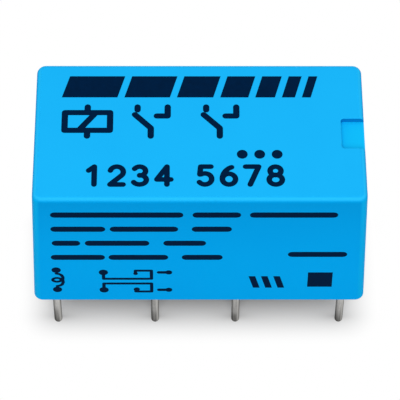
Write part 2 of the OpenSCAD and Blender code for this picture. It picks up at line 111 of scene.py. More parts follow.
# matt tin: fine streaks up the legs from drawing, none on the flat strips, clouded by the
# plating, with a painted highlight down the side facing +x and painted shade darkening the legs
# towards their tips
tin, mm = new_material("matt_tin_plating")
streak_w, streak_l = 1 / 7, 10 / 3  # real ones are about 0.03 mm wide, so they are coarser here
streak_scale = (1 / streak_w, 1 / streak_w, 1 / streak_l)
drawn = add(tin, "VectorMath", {0: mm, 1: streak_scale}, operation="MULTIPLY").outputs[0]
drawn_lines = add(tin, "TexNoise", {"Vector": drawn, "Scale": 1.0, "Detail": 3.0}).outputs[0]
tin_facing = add(tin, "TexCoord").outputs["Normal"]
tin_normal = add(tin, "SeparateXYZ", {0: tin_facing})
flat_face = add(tin, "Math", {0: tin_normal.outputs[2]}, operation="ABSOLUTE").outputs[0]
no_streak = 0.5
streaks = add(
    tin, "Mix", {"Factor": flat_face, 2: drawn_lines, 3: no_streak}, data_type="FLOAT"
).outputs[0]
cloud_size = 5 / 7
clouds = add(tin, "TexNoise", {"Vector": mm, "Scale": 1 / cloud_size, "Detail": 4.0}).outputs[0]
tin_bump = add(tin, "Bump", {"Height": streaks, "Strength": 0.5, "Distance": 0.01 * MM})
cloud_share = 0.3
tin_tone = add(
    tin, "Mix", {"Factor": cloud_share, 2: streaks, 3: clouds}, data_type="FLOAT"
).outputs[0]
tin_share = add(
    tin, "MapRange", {"Value": tin_tone, "From Min": 0.35, "From Max": 0.65}
).outputs[0]
tin_body = add(
    tin,
    "Mix",
    {"Factor": tin_share, 6: hex_colour("878684"), 7: hex_colour("BFBEBC")},
    data_type="RGBA",
).outputs[2]
pin_tip = cad_box[0].z / MM
# painted shade: the legs grow darker towards their tips
tip_shade_from = pin_tip + 1.8
tip_shade_to = pin_tip - 0.7
pin_height = add(tin, "SeparateXYZ", {0: mm}).outputs[2]
tip_painted_shade = add(
    tin, "MapRange", {"Value": pin_height, "From Min": tip_shade_from, "From Max": tip_shade_to}
).outputs[0]
tin_tip_shaded = add(
    tin, "Mix", {"Factor": tip_painted_shade, 6: tin_body, 7: hex_colour("4A4946")}, data_type="RGBA"
).outputs[2]
# painted highlight: the tin is lighter where it faces +x
flank_painted_highlight = add(
    tin,
    "MapRange",
    {"Value": tin_normal.outputs[0], "From Min": 0.2, "From Max": 0.8},
    interpolation_type="SMOOTHSTEP",
).outputs[0]
tin_colour = add(
    tin, "Mix", {"Factor": flank_painted_highlight, 6: tin_tip_shaded, 7: hex_colour("D8D6D2")}, data_type="RGBA"
).outputs[2]
leg_roughness = add(tin, "MapRange", {"Value": streaks, "To Min": 0.08, "To Max": 0.24})
strip_roughness = 0.34
tin_roughness = add(
    tin,
    "Mix",
    {"Factor": flat_face, 2: leg_roughness.outputs[0], 3: strip_roughness},
    data_type="FLOAT",
).outputs[0]
tin_surface = add(
    tin,
    "BsdfPrincipled",
    {
        "Base Color": tin_colour,
        "Metallic": 1.0,
        "Roughness": tin_roughness,
        "Specular Tint": hex_colour("8E8E8E"),
        "Normal": tin_bump.outputs[0],
    },
)
terminals = both("coil_terminal", "common_terminal", "rest_terminal", "work_terminal")
dress(tin, tin_surface, *terminals)

# Base
# One moulding of black glass-filled polyester, with a round boss for each of the taller pins.
# The pins are pushed through it, and low nibs on its floor keep the bobbin from sliding.

# moulded black: slightly grey where the glass fibres reach the skin
black, mm = new_material("glass_filled_polyester")
fibre_l, fibre_w = 1 / 3, 1 / 16  # real fibres are 0.01 mm thick, so they are coarser here
fibre_scale = (1 / fibre_l, 1 / fibre_w, 1 / fibre_w)
fibres = add(black, "VectorMath", {0: mm, 1: fibre_scale}, operation="MULTIPLY").outputs[0]
flecks = add(black, "TexNoise", {"Vector": fibres, "Scale": 1.0, "Detail": 2.0}).outputs[0]
pit = 1 / 18
grain = add(black, "TexNoise", {"Vector": mm, "Scale": 1 / pit, "Detail": 3.0}).outputs[0]
black_bump = add(black, "Bump", {"Height": grain, "Strength": 0.3, "Distance": 0.01 * MM})
black_colour = add(
    black,
    "Mix",
    {"Factor": flecks, 6: hex_colour("16171A"), 7: hex_colour("2A2C30")},
    data_type="RGBA",
).outputs[2]
black_roughness = add(
    black, "MapRange", {"Value": grain, "To Min": 0.338, "To Max": 0.713}
).outputs[0]
black_surface = add(
    black,
    "BsdfPrincipled",
    {
        "Base Color": black_colour,
        "Roughness": black_roughness,
        "Normal": black_bump.outputs[0],
    },
)
dress(black, black_surface, "base")

# Bobbin
# Moulded in one piece from heat-resistant black polymer, smoother than the base.
# Its two ends stand between the nibs, and the core runs through its tube.

bobbin_black, mm = new_material("liquid_crystal_polymer")
flow_l, flow_w = 2, 1 / 3
flow_scale = (1 / flow_l, 1 / flow_w, 1 / flow_w)
flow = add(bobbin_black, "VectorMath", {0: mm, 1: flow_scale}, operation="MULTIPLY").outputs[0]
flow_lines = add(
    bobbin_black, "TexNoise", {"Vector": flow, "Scale": 1.0, "Detail": 5.0}
).outputs[0]
bobbin_colour = add(
    bobbin_black,
    "Mix",
    {"Factor": flow_lines, 6: hex_colour("1A1A1C"), 7: hex_colour("303033")},
    data_type="RGBA",
).outputs[2]
bobbin_roughness = add(
    bobbin_black, "MapRange", {"Value": flow_lines, "To Min": 0.2, "To Max": 0.6}
).outputs[0]
bobbin_surface = add(
    bobbin_black,
    "BsdfPrincipled",
    {
        "Base Color": bobbin_colour,
        "Roughness": bobbin_roughness,
    },
)
dress(bobbin_black, bobbin_surface, "bobbin")

# Winding and leads
# Many turns of enamelled copper wire, whose two ends are wound twice round the coil pins.
# The enamel is a clear reddish lacquer that gives the copper a deep gloss.

wire_pitch = 0.12  # the real wire is about 0.05 mm thick, so it is coarser here
band_l = math.tau / 20  # length of one band of the wave texture at a scale of 1
winding, mm = new_material("enamelled_copper")
wave = {"Vector": mm, "Scale": band_l / wire_pitch, "Distortion": 0.15, "Detail": 1.0}
turns = add(winding, "TexWave", wave, bands_direction="X").outputs["Fac"]
winding_bump = add(
    winding, "Bump", {"Height": turns, "Strength": 0.7, "Distance": wire_pitch * MM / 3}
)
winding_colour = add(
    winding,
    "Mix",
    {"Factor": turns, 6: hex_colour("7E2F12"), 7: hex_colour("C8683A")},
    data_type="RGBA",
).outputs[2]
winding_surface = add(
    winding,
    "BsdfPrincipled",
    {
        "Base Color": winding_colour,
        "Metallic": 1.0,
        "Roughness": 0.28,
        "Coat Weight": 0.5,
        "Coat Roughness": 0.12,
        "Normal": winding_bump.outputs[0],
    },
)
dress(winding, winding_surface, "coil_winding")

lacquer, mm = new_material("lacquered_wire")
dull_spot = 1 / 6
dulled = add(
    lacquer, "TexNoise", {"Vector": mm, "Scale": 1 / dull_spot, "Detail": 2.0}
).outputs[0]
lacquer_colour = add(
    lacquer,
    "Mix",
    {"Factor": dulled, 6: hex_colour("A24A22"), 7: hex_colour("CC7040")},
    data_type="RGBA",
).outputs[2]
lacquer_roughness = add(
    lacquer, "MapRange", {"Value": dulled, "To Min": 0.095, "To Max": 0.445}
).outputs[0]
lacquer_surface = add(
    lacquer,
    "BsdfPrincipled",
    {
        "Base Color": lacquer_colour,
        "Metallic": 1.0,
        "Roughness": lacquer_roughness,
        "Coat Weight": 0.5,
        "Coat Roughness": 0.1,
    },
)
dress(lacquer, lacquer_surface, *both("coil_lead"))

# Tape
# Two turns of amber polyimide film, glued over the winding, that keep the wire in place.
# It is glossy and shows faint long creases where it was pulled tight.

film, mm = new_material("polyimide_film")
crease_l, crease_w = 5 / 3, 1 / 4
crease_scale = (1 / crease_l, 1 / crease_w, 1 / crease_w)
pulled = add(film, "VectorMath", {0: mm, 1: crease_scale}, operation="MULTIPLY").outputs[0]
creases = add(film, "TexNoise", {"Vector": pulled, "Scale": 1.0, "Detail": 2.0}).outputs[0]
film_bump = add(film, "Bump", {"Height": creases, "Strength": 0.4, "Distance": 0.02 * MM})
film_colour = add(
    film,
    "Mix",
    {"Factor": creases, 6: hex_colour("A8700F"), 7: hex_colour("D9A02B")},
    data_type="RGBA",
).outputs[2]
film_surface = add(
    film,
    "BsdfPrincipled",
    {
        "Base Color": film_colour,
        "Roughness": 0.18,
        "Coat Weight": 0.6,
        "Coat Roughness": 0.08,
        "Normal": film_bump.outputs[0],
    },
)
dress(film, film_surface, "coil_tape")

# Core, yoke and armature
# Soft magnetic iron, blanked from strip, annealed and flashed with nickel against rust.
# The core is riveted in the yoke, and the armature only lies on the yoke's edge.

iron, mm = new_material("nickel_flashed_iron")
dent = 1 / 10
tumbled = add(iron, "TexNoise", {"Vector": mm, "Scale": 1 / dent, "Detail": 5.0}).outputs[0]
stain = 10 / 9
stains = add(iron, "TexNoise", {"Vector": mm, "Scale": 1 / stain, "Detail": 3.0}).outputs[0]
iron_bump = add(iron, "Bump", {"Height": tumbled, "Strength": 0.35, "Distance": 0.01 * MM})
iron_colour = add(
    iron,
    "Mix",
    {"Factor": stains, 6: hex_colour("8F8C86"), 7: hex_colour("A9A69F")},
    data_type="RGBA",
).outputs[2]
iron_roughness = add(
    iron, "MapRange", {"Value": tumbled, "To Min": 0.22, "To Max": 0.62}
).outputs[0]
iron_surface = add(
    iron,
    "BsdfPrincipled",
    {
        "Base Color": iron_colour,
        "Metallic": 1.0,
        "Roughness": iron_roughness,
        "Normal": iron_bump.outputs[0],
    },
)
dress(iron, iron_surface, "core", "yoke", "armature")

# Shim, hinge spring and contact springs
# All cut from thin rolled bronze strip. The hinge spring is welded on the yoke's back,
# the contact springs on their common terminals, and the shim under the armature.

bronze, mm = new_material("rolled_spring_bronze")
roll_l, roll_w = 5 / 4, 1 / 22  # real marks are about 0.01 mm wide, so they are coarser here
roll_scale = (1 / roll_l, 1 / roll_w, 1 / roll_w)
rolled = add(bronze, "VectorMath", {0: mm, 1: roll_scale}, operation="MULTIPLY").outputs[0]
rolling = add(bronze, "TexNoise", {"Vector": rolled, "Scale": 1.0, "Detail": 4.0}).outputs[0]
bronze_bump = add(bronze, "Bump", {"Height": rolling, "Strength": 0.2, "Distance": 0.005 * MM})
bronze_colour = add(
    bronze,
    "Mix",
    {"Factor": rolling, 6: hex_colour("B98345"), 7: hex_colour("D2A364")},
    data_type="RGBA",
).outputs[2]
bronze_roughness = add(
    bronze, "MapRange", {"Value": rolling, "To Min": 0.115, "To Max": 0.465}
).outputs[0]
bronze_surface = add(
    bronze,
    "BsdfPrincipled",
    {
        "Base Color": bronze_colour,
        "Metallic": 1.0,
        "Roughness": bronze_roughness,
        "Normal": bronze_bump.outputs[0],
    },
)
dress(bronze, bronze_surface, "residual_shim", "hinge_spring", *both("contact_spring"))

# Contacts
# Silver alloy: rivets through the springs' tines, and bars welded on the fixed terminals.
# Fresh silver is bright, with a trace of yellow tarnish that starts in patches.

silver, mm = new_material("silver_nickel")
patch = 1 / 4
tarnish = add(silver, "TexNoise", {"Vector": mm, "Scale": 1 / patch, "Detail": 3.0}).outputs[0]
silver_colour = add(
    silver,
    "Mix",
    {"Factor": tarnish, 6: hex_colour("D8D2C2"), 7: hex_colour("F0EEE8")},
    data_type="RGBA",
).outputs[2]
silver_roughness = add(
    silver, "MapRange", {"Value": tarnish, "To Min": 0.05, "To Max": 0.35}
).outputs[0]
silver_surface = add(
    silver,
    "BsdfPrincipled",
    {
        "Base Color": silver_colour,
        "Metallic": 1.0,
        "Roughness": silver_roughness,
    },
)
dress(silver, silver_surface, *both("moving_contacts", "rest_contact", "work_contact"))

# Card
# Moulded from uncoloured polymer and pressed on the armature's tongue, with a leg
# to each contact spring. It is waxy, off-white and lets a little light in.

card_white, mm = new_material("uncoloured_polymer")
haze = 5 / 6
cloudy = add(card_white, "TexNoise", {"Vector": mm, "Scale": 1 / haze, "Detail": 4.0}).outputs[0]
card_colour = add(
    card_white,
    "Mix",
    {"Factor": cloudy, 6: hex_colour("CFC8B4"), 7: hex_colour("E2DDCE")},
    data_type="RGBA",
).outputs[2]
card_roughness = add(
    card_white, "MapRange", {"Value": cloudy, "To Min": 0.29, "To Max": 0.59}
).outputs[0]
card_surface = add(
    card_white,
    "BsdfPrincipled",
    {
        "Base Color": card_colour,
        "Roughness": card_roughness,
        "Subsurface Weight": 0.15,
        "Subsurface Radius": (0.6, 0.5, 0.35),
        "Subsurface Scale": MM,
    },
)
dress(card_white, card_surface, "actuator_card")

# Cover
# A deep box of blue polyester, moulded in one piece with drafted walls and a small
# recess in the top at one end. It drops over the base and the resin below glues it on.

cover_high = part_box("cover")[1] / MM
half_l = cover_high.x
half_w = cover_high.y
ink_t = 0.008
case_top = cover_high.z - ink_t
wall = 0.6
cavity_top = 9.5
draft = 1.85
slope = math.tan(math.radians(draft))
corner_r = 0.55
top_edge_r = 0.33
rim_r = 0.08
cavity_r = 0.25
mouth_r = 0.05


def rounded_ring(half_x, half_y, radius, z, steps=12):
    """Points of a rounded rectangle at height z, anticlockwise from above, in millimetres."""
    points = []
    for corner, (sx, sy) in enumerate([(1, 1), (-1, 1), (-1, -1), (1, -1)]):
        for step in range(steps + 1):
            angle = math.radians(90 * (corner + step / steps))
            x = sx * (half_x - radius) + radius * math.cos(angle)
            y = sy * (half_y - radius) + radius * math.sin(angle)
            points.append((x, y, z))
    return points


def quarter_turn(steps):
    """Sine and cosine of the angles from 0 to 90 degrees in even steps."""
    angles = [math.pi / 2 * step / steps for step in range(steps + 1)]
    return [(math.sin(a), math.cos(a)) for a in angles]


def loft(name, rings):
    """A closed skin over rings with equal counts of points, in millimetres."""
    count = len(rings[0])
    points = [[value * MM for value in point] for ring in rings for point in ring]
    faces = [tuple(reversed(range(count)))]
    for start in range(0, count * (len(rings) - 1), count):
        for i in range(count):
            j = (i + 1) % count
            faces.append((start + i, start + j, start + count + j, start + count + i))
    faces.append(tuple(range(len(points) - count, len(points))))
    mesh = bpy.data.meshes.new(name)
    mesh.from_pydata(points, [], faces)
    piece = bpy.data.objects.new(name, mesh)
    bpy.context.scene.collection.objects.link(piece)
    return piece


def settle(piece):
    """Makes the result of a piece's modifiers its own mesh."""
    graph = bpy.context.evaluated_depsgraph_get()
    mesh = bpy.data.meshes.new_from_object(piece.evaluated_get(graph))
    piece.modifiers.clear()
    piece.data = mesh
    return piece


def smooth(piece, sharp_angle):
    """Shades a piece smoothly, with flat faces kept flat and edges over the angle kept sharp."""
    piece.data.shade_smooth()
    piece.data.set_sharp_from_angle(angle=math.radians(sharp_angle))
    weighted = piece.modifiers.new("flat_faces", "WEIGHTED_NORMAL")
    weighted.keep_sharp = True
    return settle(piece)


def wall_inset(z):
    """How far the draft brings the outer wall in at height z."""
    share = (z - rim_r) / (case_top - top_edge_r - rim_r)
    return case_top * slope * min(max(share, 0), 1)


def cavity_ring(z, grow=0):
    """Ring of the cavity's wall at height z."""
    inset = wall + z * slope - grow
    return rounded_ring(half_l - inset, half_w - inset, cavity_r + grow, z)


cover_rings = [cavity_ring(cavity_top), cavity_ring(mouth_r)]
for s, c in quarter_turn(steps=3)[1:]:
    cover_rings.append(cavity_ring(mouth_r * (1 - s), mouth_r * (1 - c)))
for s, c in quarter_turn(steps=4):
    inset = rim_r * (1 - s)
    cover_rings.append(
        rounded_ring(half_l - inset, half_w - inset, corner_r - inset, rim_r * (1 - c))
    )
for s, c in quarter_turn(steps=10):
    inset = wall_inset(case_top) + top_edge_r * (1 - c)
    radius = corner_r - top_edge_r * (1 - c)
    z = case_top - top_edge_r * (1 - s)
    cover_rings.append(rounded_ring(half_l - inset, half_w - inset, radius, z))
cover = loft("moulded_cover", cover_rings)

recess_l = 1.4
recess_w = 2.2
recess_depth = 0.37
recess_r = 0.18
recess_offset = 0.18
lip_r = 0.04
floor_r = 0.05
cutter_over = 1  # how far the recess's cutter stands out past the cover's end and its top


def recess_ring(grow, z):
    """Outline of the recess at height z, open past the end wall, in millimetres."""
    end_x = half_l - wall_inset(case_top)
    inner_x = end_x - recess_l - grow
    half = recess_w / 2 + grow
    radius = recess_r + grow
    points = [(end_x + cutter_over, -half), (end_x + cutter_over, half)]
    for s, c in quarter_turn(steps=6):
        points.append((inner_x + radius - radius * s, half - radius + radius * c))
    for s, c in quarter_turn(steps=6):
        points.append((inner_x + radius - radius * c, radius - half - radius * s))
    return [(x, y - recess_offset, z) for x, y in points]


recess_floor = case_top - recess_depth
recess_rings = []
for s, c in quarter_turn(steps=4):
    recess_rings.append(recess_ring(-floor_r * (1 - s), recess_floor + floor_r * (1 - c)))
for s, c in quarter_turn(steps=4):
    recess_rings.append(recess_ring(lip_r * (1 - c), case_top - lip_r * (1 - s)))
recess_rings.append(recess_ring(lip_r, case_top + cutter_over))
recess = loft("recess_cutter", recess_rings)
cut = cover.modifiers.new("recess", "BOOLEAN")
cut.operation = "DIFFERENCE"
cut.solver = "EXACT"
cut.object = recess
settle(cover)
bpy.data.objects.remove(recess)
smooth(cover, sharp_angle=35)

# moulded blue: satin, with a fine spark-eroded grain. The top is painted a paler, lit blue and
# the walls a deeper, shaded one, with painted shade deepest just below the top and painted
# highlights on edges.
blue, mm = new_material("blue_polyester")
grain_size = 0.09  # the real grain is about 0.03 mm, so it is coarser here
skin = add(blue, "TexNoise", {"Vector": mm, "Scale": 1 / grain_size, "Detail": 2.0}).outputs[0]
mark_size = 50 / 11
marks = add(blue, "TexNoise", {"Vector": mm, "Scale": 1 / mark_size, "Detail": 3.0}).outputs[0]
blue_bump = add(blue, "Bump", {"Height": skin, "Strength": 0.12, "Distance": 0.01 * MM})
facing = add(blue, "TexCoord").outputs["Normal"]
blue_normal = add(blue, "SeparateXYZ", {0: facing})
upward = blue_normal.outputs[2]
blue_top_lit = add(
    blue,
    "Mix",
    {"Factor": marks, 6: hex_colour("17B4FA"), 7: hex_colour("1ABBFE")},
    data_type="RGBA",
).outputs[2]
blue_low_wall_shaded = add(
    blue,
    "Mix",
    {"Factor": marks, 6: hex_colour("00ADFE"), 7: hex_colour("00B3FF")},
    data_type="RGBA",
).outputs[2]
# painted shade: the walls grow a deeper blue towards the top
wall_shade_from_z = 2.0
wall_height = add(blue, "SeparateXYZ", {0: mm}).outputs[2]
wall_rise = add(
    blue, "MapRange", {"Value": wall_height, "From Min": wall_shade_from_z, "From Max": case_top}
).outputs[0]
wall_painted_shade = add(blue, "Math", {0: wall_rise, 1: wall_rise}, operation="MULTIPLY").outputs[0]
blue_wall_shaded = add(
    blue,
    "Mix",
    {"Factor": wall_painted_shade, 6: blue_low_wall_shaded, 7: hex_colour("00A2EC")},
    data_type="RGBA",
).outputs[2]
# painted highlight: the vertical corners are a lighter blue
two_sided = add(
    blue, "Math", {0: blue_normal.outputs[0], 1: blue_normal.outputs[1]}, operation="MULTIPLY"
).outputs[0]
askew = add(blue, "Math", {0: two_sided}, operation="ABSOLUTE").outputs[0]
corner_painted_highlight = add(blue, "MapRange", {"Value": askew, "From Min": 0.2, "From Max": 0.45}).outputs[0]
blue_corner_highlit = add(
    blue, "Mix", {"Factor": corner_painted_highlight, 6: blue_wall_shaded, 7: hex_colour("04BBFF")}, data_type="RGBA"
).outputs[2]
on_top = add(blue, "MapRange", {"Value": upward, "From Min": 0.3, "From Max": 0.8}).outputs[0]
blue_outside = add(
    blue, "Mix", {"Factor": on_top, 6: blue_corner_highlit, 7: blue_top_lit}, data_type="RGBA"
).outputs[2]

# painted shade and light: in the recess the walls are painted a darker blue and the floor a
# brighter one
recess_top = case_top - lip_r
recess_middle = (
    half_l - wall_inset(case_top) - recess_l / 2,
    -recess_offset,
    (recess_floor + recess_top) / 2,
)
recess_margin = 0.02
recess_half = (
    recess_l / 2 + recess_margin,
    recess_w / 2 + recess_margin,
    (recess_top - recess_floor) / 2 + recess_margin / 2,
)
from_middle = add(blue, "VectorMath", {0: mm, 1: recess_middle}, operation="SUBTRACT").outputs[0]
off_middle = add(blue, "VectorMath", {0: from_middle}, operation="ABSOLUTE").outputs[0]
within = add(blue, "VectorMath", {0: recess_half, 1: off_middle}, operation="SUBTRACT").outputs[0]
sides = add(blue, "SeparateXYZ", {0: within})
flat_room = add(blue, "Math", {0: sides.outputs[0], 1: sides.outputs[1]}, operation="MINIMUM")
room = add(blue, "Math", {0: flat_room.outputs[0], 1: sides.outputs[2]}, operation="MINIMUM")
recess_blend = 0.02
in_recess = add(
    blue, "MapRange", {"Value": room.outputs[0], "From Max": recess_blend}
).outputs[0]
recess_lit_share = add(blue, "MapRange", {"Value": upward, "From Min": 0.3, "From Max": 0.98})
recess_painted_shade_and_light = add(
    blue,
    "Mix",
    {"Factor": recess_lit_share.outputs[0], 6: hex_colour("0086CC"), 7: hex_colour("00C8FF")},
    data_type="RGBA",
).outputs[2]
# painted highlight: a lighter blue on the roundings where walls turn into tops, along the top's
# edges and the recess's lip
above_wall = add(
    blue,
    "MapRange",
    {"Value": upward, "From Min": 0.5, "From Max": 0.85},
    interpolation_type="SMOOTHSTEP",
).outputs[0]
below_top = add(
    blue,
    "MapRange",
    {"Value": upward, "From Min": 0.99, "From Max": 0.91},
    interpolation_type="SMOOTHSTEP",
).outputs[0]
edge_painted_highlight = add(blue, "Math", {0: above_wall, 1: below_top}, operation="MULTIPLY").outputs[0]
blue_edge_highlit = add(
    blue, "Mix", {"Factor": edge_painted_highlight, 6: blue_outside, 7: hex_colour("24C1FF")}, data_type="RGBA"
).outputs[2]
blue_colour = add(
    blue, "Mix", {"Factor": in_recess, 6: blue_edge_highlit, 7: recess_painted_shade_and_light}, data_type="RGBA"
).outputs[2]
blue_roughness = add(
    blue, "MapRange", {"Value": skin, "To Min": 0.36, "To Max": 0.56}
).outputs[0]
blue_surface = add(
    blue,
    "BsdfPrincipled",
    {
        "Base Color": blue_colour,
        "Roughness": blue_roughness,
        "Specular IOR Level": 0.01,
        "Normal": blue_bump.outputs[0],
    },
)
dress(blue, blue_surface, cover)
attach(cover, "relay_body")
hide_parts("cover")

# Seal
# Dark epoxy resin, poured over the upturned base and cured, which glues the cover on
# and closes the gaps round the pins. It creeps up the walls and the pins as it sets.

seal_low, seal_high = (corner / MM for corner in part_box("bottom_seal"))
creep = 0.09
creep_reach = 0.16
pin_r = 0.25
tips_below_z = -4
pin_centres = []
for name in terminals:
    tips = [v.co / MM for v in nodes[name].data.vertices if v.co.z < tips_below_z * MM]
    pin_centres.append(sum(tips, Vector()) / len(tips))


def seal_z(x, y):
    """Height of the resin's lower face, which is drawn down along the walls and the pins."""
    to_wall = min(seal_high.x - abs(x), seal_high.y - abs(y))
    to_pin = min(math.hypot(x - pin.x, y - pin.y) for pin in pin_centres) - pin_r
    near = math.exp(-max(to_wall, 0) / creep_reach) + math.exp(-max(to_pin, 0) / creep_reach)
    return seal_low.z - creep * min(near, 1)


columns, rows = 240, 116
resin = bmesh.new()
resin_grid = []
for row in range(rows + 1):
    y = seal_low.y + (seal_high.y - seal_low.y) * row / rows
    verts = []
    for column in range(columns + 1):
        x = seal_low.x + (seal_high.x - seal_low.x) * column / columns
        verts.append(resin.verts.new(Vector((x, y, seal_z(x, y))) * MM))
    resin_grid.append(verts)
for below, above in zip(resin_grid, resin_grid[1:]):
    for i in range(columns):
        resin.faces.new((below[i], above[i], above[i + 1], below[i + 1]))
upper = bmesh.ops.extrude_face_region(resin, geom=resin.faces[:])["geom"]
for vert in upper:
    if isinstance(vert, bmesh.types.BMVert):
        vert.co.z = seal_high.z * MM
bmesh.ops.recalc_face_normals(resin, faces=resin.faces[:])
resin_mesh = bpy.data.meshes.new("resin_seal")
resin.to_mesh(resin_mesh)
resin.free()
seal = bpy.data.objects.new("resin_seal", resin_mesh)
bpy.context.scene.collection.objects.link(seal)
smooth(seal, sharp_angle=50)

# cured epoxy: glossy, nearly black, with slow waves from where it was poured
epoxy, mm = new_material("cast_epoxy")
pool = 2
pools = add(epoxy, "TexNoise", {"Vector": mm, "Scale": 1 / pool, "Detail": 2.0}).outputs[0]
epoxy_bump = add(epoxy, "Bump", {"Height": pools, "Strength": 0.3, "Distance": 0.05 * MM})
epoxy_colour = add(
    epoxy,
    "Mix",
    {"Factor": pools, 6: hex_colour("1B1713"), 7: hex_colour("2C251D")},
    data_type="RGBA",
).outputs[2]
epoxy_roughness = add(
    epoxy, "MapRange", {"Value": pools, "To Min": 0.085, "To Max": 0.335}
).outputs[0]
epoxy_surface = add(
    epoxy,
    "BsdfPrincipled",
    {
        "Base Color": epoxy_colour,
        "Roughness": epoxy_roughness,
        "Normal": epoxy_bump.outputs[0],
    },
)
dress(epoxy, epoxy_surface, seal)
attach(seal, "relay_body")
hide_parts("bottom_seal")

# Print on the top
# Navy two-part ink, stamped on with a soft silicone pad in one flat film with clean edges.
# It carries a heading of slanted bars, contact symbols, three dots and the pins' numbers.


def disc(centre, diameter, steps=28):
    """Outline of a round spot."""
    angles = [math.tau * step / steps for step in range(steps)]
    r = diameter / 2
    return [(centre[0] + r * math.cos(a), centre[1] + r * math.sin(a)) for a in angles]


def stroke(path, width):
    """Outlines that together make a line with round ends along a path."""
    outlines = [disc(point, width, steps=12) for point in path]
    for a, b in zip(path, path[1:]):
        along = Vector(b) - Vector(a)
        side = Vector((-along.y, along.x)).normalized() * width / 2
        corners = [Vector(a) - side, Vector(b) - side, Vector(b) + side, Vector(a) + side]
        outlines.append([tuple(corner) for corner in corners])
    return outlines


def arc(centre, radii, start, end, steps=14):
    """Points of an elliptical arc, by its angles in degrees."""
    angles = [math.radians(start + (end - start) * step / steps) for step in range(steps + 1)]
    return [
        (centre[0] + radii[0] * math.cos(a), centre[1] + radii[1] * math.sin(a)) for a in angles
    ]


def print_piece(name, outlines, place):
    """Joins flat outlines into one film of ink. place turns (x, y, lift) into a face's point."""
    points = []
    faces = []
    for outline in outlines:
        faces.append(list(range(len(points), len(points) + len(outline))))
        points += [Vector(point) for point in outline]
    # an output type of 1 leaves only what lies within the outlines
    output_type, join_distance = 1, 1e-5
    flat, _, cells, _, _, sources = geometry.delaunay_2d_cdt(
        points, [], faces, output_type, join_distance
    )
    sheet = bmesh.new()
    corners = [sheet.verts.new((point.x, point.y, -ink_t / 2)) for point in flat]
    for cell, source in zip(cells, sources):
        if source:
            sheet.faces.new([corners[i] for i in cell])
    loose = [vert for vert in sheet.verts if not vert.link_faces]
    bmesh.ops.delete(sheet, geom=loose, context="VERTS")
    flat_within = math.radians(1)
    bmesh.ops.dissolve_limit(
        sheet, angle_limit=flat_within, verts=sheet.verts[:], edges=sheet.edges[:]
    )
    for vert in bmesh.ops.extrude_face_region(sheet, geom=sheet.faces[:])["geom"]:
        if isinstance(vert, bmesh.types.BMVert):
            vert.co.z = ink_t
    for vert in sheet.verts:
        vert.co = Vector(place(*vert.co)) * MM
    bmesh.ops.recalc_face_normals(sheet, faces=sheet.faces[:])
    mesh = bpy.data.meshes.new(name)
    sheet.to_mesh(mesh)
    sheet.free()
    piece = bpy.data.objects.new(name, mesh)
    bpy.context.scene.collection.objects.link(piece)
    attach(piece, "relay_body")
    return piece


# heading: slanted bars that get shorter
heading = []
bar_x = -8.25
bar_low, bar_high = 2.5, 4.1
slant = 0.45
bar_gap = 0.42
for width in (3.75, 3.15, 2.6, 2.1, 1.6, 1.2, 0.95):
    heading.append(
        [
            (bar_x, bar_low),
            (bar_x + width - bar_gap, bar_low),
            (bar_x + width - bar_gap + slant, bar_high),
            (bar_x + slant, bar_high),
        ]
    )
    bar_x += width

# symbols: the coil as a box with a slanted line, then two changeover contacts
line_w = 0.38
symbol_low, symbol_high = -0.4, 1.78
box_x, box_low, box_high, box_w = -8.03, 0.03, 1.35, 2.7
slash_start, slash_end = box_x + 0.85, box_x + 1.85
lead_x = box_x + box_w / 2
symbols = stroke([(lead_x, symbol_high), (lead_x, box_high)], line_w)
symbols += stroke([(lead_x, box_low), (lead_x, symbol_low)], line_w)
symbols += stroke([(slash_start, box_low), (slash_end, box_high)], line_w)
box_path = [
    (box_x, box_low),
    (box_x + box_w, box_low),
    (box_x + box_w, box_high),
    (box_x, box_high),
    (box_x, box_low),
]
symbols += stroke(box_path, line_w)
hinge_y = 0.2
blade_x, blade_y = -0.95, 1.2
rest_x, rest_y = -0.8, 1.55
work_x, hook_end_x, hook_y = 1, 0.35, 1.1
for pole_x in (-2.9, 1.2):
    blade = [(0, symbol_low), (0, hinge_y), (blade_x, blade_y)]
    rest = [(rest_x, symbol_high), (rest_x, rest_y)]
    work = [(work_x, symbol_high), (work_x, hook_y), (hook_end_x, hook_y)]
    for trace in (blade, rest, work):
        symbols += stroke([(pole_x + x, y) for x, y in trace], line_w)

# dots: three in a row, as on the real cover
dot_d = 0.64
dot_y = -1.73
dots = [disc((x, dot_y), dot_d) for x in (2.51, 3.54, 4.57)]

# numbers: the eight pins, each drawn one unit high and about 0.6 wide
digit_paths = {
    1: [[(0.08, 0.78), (0.34, 1), (0.34, 0)]],
    2: [arc((0.3, 0.7), (0.3, 0.3), 165, -35) + [(0, 0), (0.6, 0)]],
    3: [
        arc((0.28, 0.75), (0.27, 0.25), 150, -90) + arc((0.28, 0.26), (0.31, 0.26), 90, -150),
    ],
    4: [[(0.46, 0), (0.46, 1), (0, 0.28), (0.64, 0.28)]],
    5: [[(0.55, 1), (0.08, 1), (0.04, 0.56)] + arc((0.27, 0.31), (0.31, 0.31), 125, -145)],
    6: [
        arc((0.3, 0.3), (0.3, 0.3), 0, 360, 20),
        arc((0.62, 0.3), (0.62, 0.7), 180, 108),
    ],
    7: [[(0, 1), (0.6, 1), (0.2, 0)]],
    8: [
        arc((0.3, 0.76), (0.25, 0.24), 0, 360, 20),
        arc((0.3, 0.27), (0.3, 0.27), 0, 360, 20),
    ],
}
digit_h = 1.29
digit_low = -3.92
digits_x = -6.63
digit_pitch = 1.37
group_gap = 1.1
digit_w = 0.33
numbers = []
for digit, lines in digit_paths.items():
    digit_x = digits_x + (digit - 1) * digit_pitch + (group_gap if digit > 4 else 0)
    for line in lines:
        placed = [(digit_x + x * digit_h, digit_low + y * digit_h) for x, y in line]
        numbers += stroke(placed, digit_w)

top_print = print_piece(
    "top_print", heading + symbols + dots + numbers, lambda x, y, lift: (x, y, case_top + lift)
)

